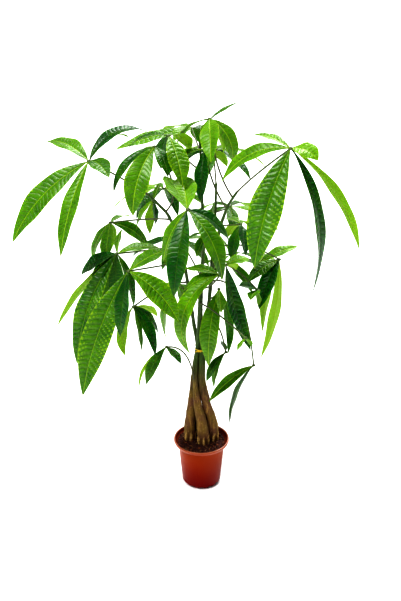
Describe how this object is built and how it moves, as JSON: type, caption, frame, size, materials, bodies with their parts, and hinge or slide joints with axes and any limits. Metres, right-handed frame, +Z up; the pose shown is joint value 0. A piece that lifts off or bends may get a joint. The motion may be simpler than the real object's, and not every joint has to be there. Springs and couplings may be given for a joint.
{
  "type": "potted money tree",
  "caption": "Potted money tree: slim trunks gathered by a wire tie, drooping hand-shaped leaves on long stalks, in a thin round nursery pot. Stands as a table or floor plant.",
  "frame": {"origin": "middle of the pot's flat underside", "axes": "+Z up through the pot and the bundle of trunks; -Y towards the front of the plant; +X to its right"},
  "size_m": [0.6431, 0.5632, 0.8302],
  "materials": {
    "leaf": "satin",
    "bark": "matte",
    "pot_plastic": "satin",
    "potting_mix": "matte",
    "tie_wire": "satin"
  },
  "bodies": {
    "root": {"leaf_back_high": "leaf", "leaf_back_left": "leaf", "leaf_back_low": "leaf", "leaf_back_middle": "leaf", "leaf_back_right": "leaf", "leaf_bud": "leaf", "leaf_far_left": "leaf", "leaf_far_right": "leaf", "leaf_front": "leaf", "leaf_front_low": "leaf", "leaf_front_right": "leaf", "leaf_hanging": "leaf", "leaf_left": "leaf", "leaf_left_front": "leaf", "leaf_left_inner": "leaf", "leaf_left_lower": "leaf", "leaf_left_upper": "leaf", "leaf_low_inner": "leaf", "leaf_low_left": "leaf", "leaf_low_middle": "leaf", "leaf_low_right": "leaf", "leaf_middle": "leaf", "leaf_middle_right": "leaf", "leaf_right": "leaf", "leaf_right_back": "leaf", "leaf_right_inner": "leaf", "leaf_top": "leaf", "leaf_top_back": "leaf", "leaf_top_front": "leaf", "leaf_top_left": "leaf", "leaf_top_left_front": "leaf", "pot": "pot_plastic", "soil": "potting_mix", "stem_tie": "tie_wire", "trunk_back_left": "bark", "trunk_back_right": "bark", "trunk_front": "bark", "trunk_left": "bark", "trunk_right": "bark"}
  },
  "joints": []
}
